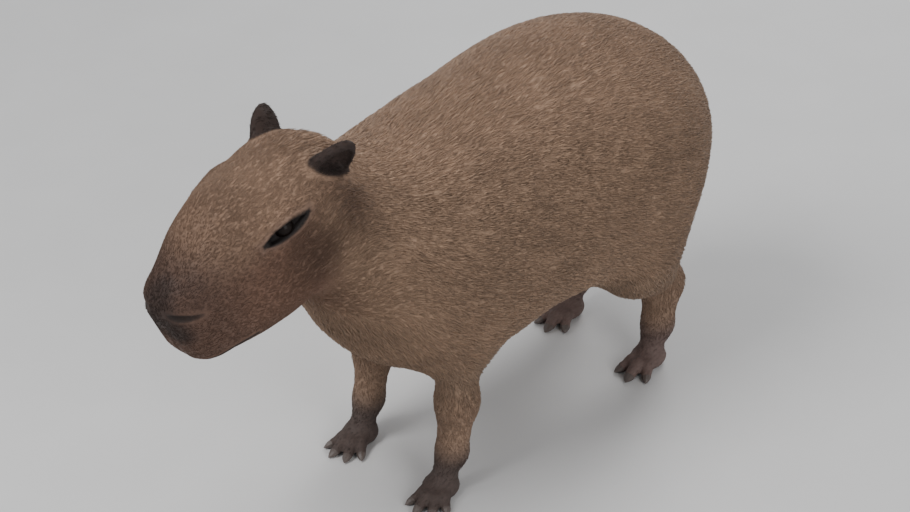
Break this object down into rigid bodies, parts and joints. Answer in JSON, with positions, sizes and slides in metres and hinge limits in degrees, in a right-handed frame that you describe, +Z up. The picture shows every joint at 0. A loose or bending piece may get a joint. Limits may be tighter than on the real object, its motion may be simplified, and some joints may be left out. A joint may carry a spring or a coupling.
{
  "type": "life-size standing capybara model",
  "caption": "Still life-size model of a standing capybara with its head lowered, short coarse coat, small cupped ears and clawed webbed toes.",
  "frame": {"origin": "on the floor under the middle of the animal's length and width", "axes": "+Z up, -Y the way the animal faces, +X its left side"},
  "size_m": [0.404, 1.074, 0.6495],
  "materials": {
    "coat": "short coarse grey-brown fur",
    "foot_skin": "matt bare skin",
    "ear_skin": "matt dark skin with fine hair",
    "horn": "dull grey-brown horn",
    "eyeball": "wet glossy dark eye"
  },
  "bodies": {
    "root": {"torso": "coat", "neck": "coat", "head": "coat", "eye_left": "eyeball", "ear_left": "ear_skin", "front_leg_left": "coat", "front_foot_left": "foot_skin", "front_claw_left_1": "horn", "front_claw_left_2": "horn", "front_claw_left_3": "horn", "front_claw_left_4": "horn", "hind_leg_left": "coat", "hind_foot_left": "foot_skin", "hind_claw_left_1": "horn", "hind_claw_left_2": "horn", "hind_claw_left_3": "horn", "eye_right": "eyeball", "ear_right": "ear_skin", "front_leg_right": "coat", "front_foot_right": "foot_skin", "front_claw_right_1": "horn", "front_claw_right_2": "horn", "front_claw_right_3": "horn", "front_claw_right_4": "horn", "hind_leg_right": "coat", "hind_foot_right": "foot_skin", "hind_claw_right_1": "horn", "hind_claw_right_2": "horn", "hind_claw_right_3": "horn"}
  },
  "joints": []
}
